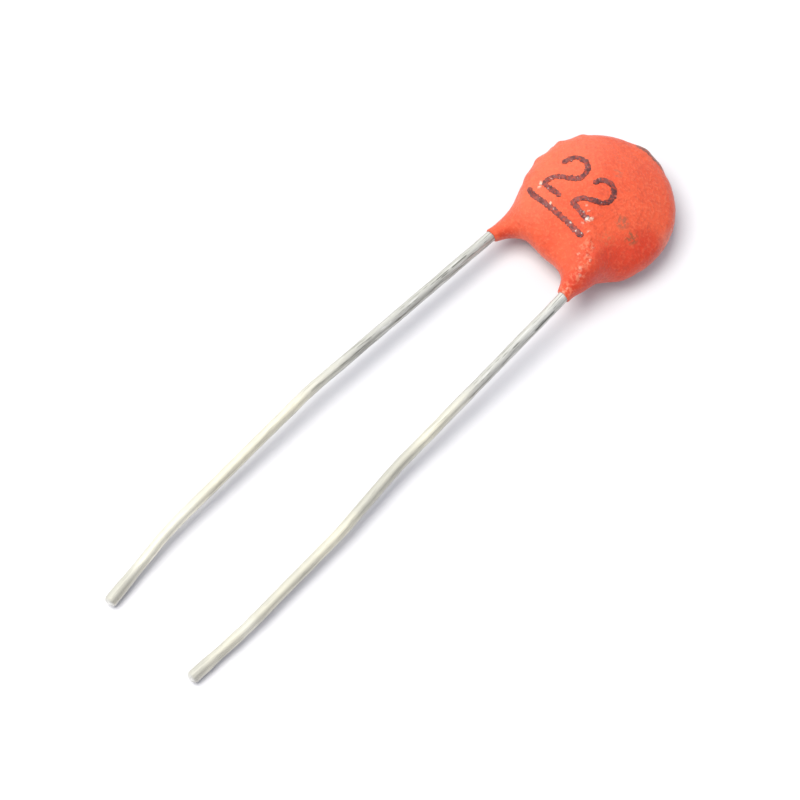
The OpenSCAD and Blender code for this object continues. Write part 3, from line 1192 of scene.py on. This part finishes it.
# Camera from CENTRE in millimetres, and its turns about X and Z in degrees
CAMERA_PLACE = (27.4360, -38.0466, 88.3161)
CAMERA_TILT = 22.792543
CAMERA_HEADING = 46.289665


def floor_material(settings):
    """Floor that keeps the shadows by the part and turns white away from it."""
    material, nodes, shader, place = new_material("White floor")
    colour = clouded(nodes, nodes.noise(place, 30, 2, 0.5), settings.floor_colour, 0.985)
    nodes.put(shader, Base_Color=colour, Roughness=0.9, Specular_IOR_Level=0)
    gap = nodes.vectors("LENGTH", place)["Value"]
    white = nodes.ramp(gap, *WHITENING, settings.floor_lift, 1)
    seen = rays_of(nodes, "Camera", "Glossy", "Transmission")
    lift = nodes.add("ShaderNodeEmission", Strength=nodes.both(seen, white))
    total = nodes.add("ShaderNodeAddShader")
    for socket, part in zip(total.inputs, (shader, lift)):
        nodes.feed(socket, part.outputs[0])
    nodes.put(nodes.tree.nodes["Material Output"], Surface=total.outputs[0])
    return material


def surrounding_light(settings):
    """Even light from all round; a shiny surface sees a room with a bright and a dark side."""
    world = bpy.data.worlds.new("Soft room")
    bpy.context.scene.world = world
    world.use_nodes = True
    nodes = Nodes(world.node_tree)
    way = nodes.add("ShaderNodeTexCoord").outputs["Generated"]
    side = nodes.vectors("DOT_PRODUCT", way, BRIGHT_SIDE)["Value"]
    level = nodes.math("MULTIPLY_ADD", side, ROOM_SLOPE, ROOM_MIDDLE)
    level = nodes.math("MAXIMUM", level, ROOM_LEAST)
    room = nodes.add("ShaderNodeCombineColor", Red=level, Green=level, Blue=level)
    colour = nodes.mix(rays_of(nodes, "Glossy"), settings.sky, room.outputs["Color"])
    colour = nodes.mix(rays_of(nodes, "Camera", "Transmission"), colour, (1, 1, 1))
    nodes.put(world.node_tree.nodes["Background"], Color=colour)


def main_lamp(power):
    """The large soft lamp, which a shiny surface doesn't see."""
    way = Vector(LAMP_AIM) - Vector(LAMP_PLACE)
    turn = way.to_track_quat("-Z", "Y").to_euler()
    bpy.ops.object.light_add(type="AREA", location=LAMP_PLACE, rotation=turn)
    lamp = bpy.context.object
    lamp.name = "main_lamp"
    lamp.visible_glossy = False
    lamp.data.size = LAMP_SIZE
    lamp.data.energy = power
    lamp.data.color = LAMP_COLOUR


def main_camera(lens):
    """The camera, with its lens in millimetres."""
    place = (CENTRE + Vector(CAMERA_PLACE)) * MM
    turn = (math.radians(CAMERA_TILT), 0, math.radians(CAMERA_HEADING))
    bpy.ops.object.camera_add(location=place, rotation=turn)
    camera = bpy.context.object
    camera.data.lens = lens
    camera.data.clip_start = 2 * MM
    bpy.context.scene.camera = camera


class CAPACITOR_OT_stage(bpy.types.Operator):
    """White floor, soft lamp from the upper left, surrounding light and camera"""

    bl_idname = "capacitor.stage"
    bl_label = "Stage"

    def execute(self, context):
        settings = context.scene.capacitor_stage
        bpy.ops.mesh.primitive_grid_add(x_subdivisions=8, y_subdivisions=8, size=FLOOR)
        floor = context.object
        floor.name = "floor"
        floor.data.materials.append(floor_material(settings))
        surrounding_light(settings)
        main_lamp(settings.key_power)
        main_camera(settings.lens)
        context.scene.view_settings.view_transform = "Standard"
        return {"FINISHED"}


# ---- Sidebar ----


class CAPACITOR_PT_build(bpy.types.Panel):
    """Pieces of the capacitor, in the order that they are built"""

    bl_label = "Disc Capacitor"
    bl_space_type = "VIEW_3D"
    bl_region_type = "UI"
    bl_category = "Capacitor"

    def draw(self, context):
        for group, (settings, operator) in STEPS.items():
            box = self.layout.box()
            for name in settings.__annotations__:
                box.prop(getattr(context.scene, group), name)
            box.operator(operator.bl_idname)


# Settings and operator of each step, in the order that they are built
STEPS = {
    "capacitor_coat": (CoatSettings, CAPACITOR_OT_coat),
    "capacitor_marking": (MarkingSettings, CAPACITOR_OT_marking),
    "capacitor_leads": (LeadSettings, CAPACITOR_OT_leads),
    "capacitor_inside": (InsideSettings, CAPACITOR_OT_inside),
    "capacitor_stage": (StageSettings, CAPACITOR_OT_stage),
}
CLASSES = [item for step in STEPS.values() for item in step] + [CAPACITOR_PT_build]


def register():
    for item in CLASSES:
        bpy.utils.register_class(item)
    for group, (settings, operator) in STEPS.items():
        setattr(bpy.types.Scene, group, bpy.props.PointerProperty(type=settings))


def unregister():
    for group in STEPS:
        delattr(bpy.types.Scene, group)
    for item in reversed(CLASSES):
        bpy.utils.unregister_class(item)


def main():
    register()
    bpy.ops.capacitor.coat()
    bpy.ops.capacitor.marking()
    bpy.ops.capacitor.leads()
    bpy.ops.capacitor.inside()
    bpy.ops.capacitor.stage()


if __name__ == "__main__":
    main()
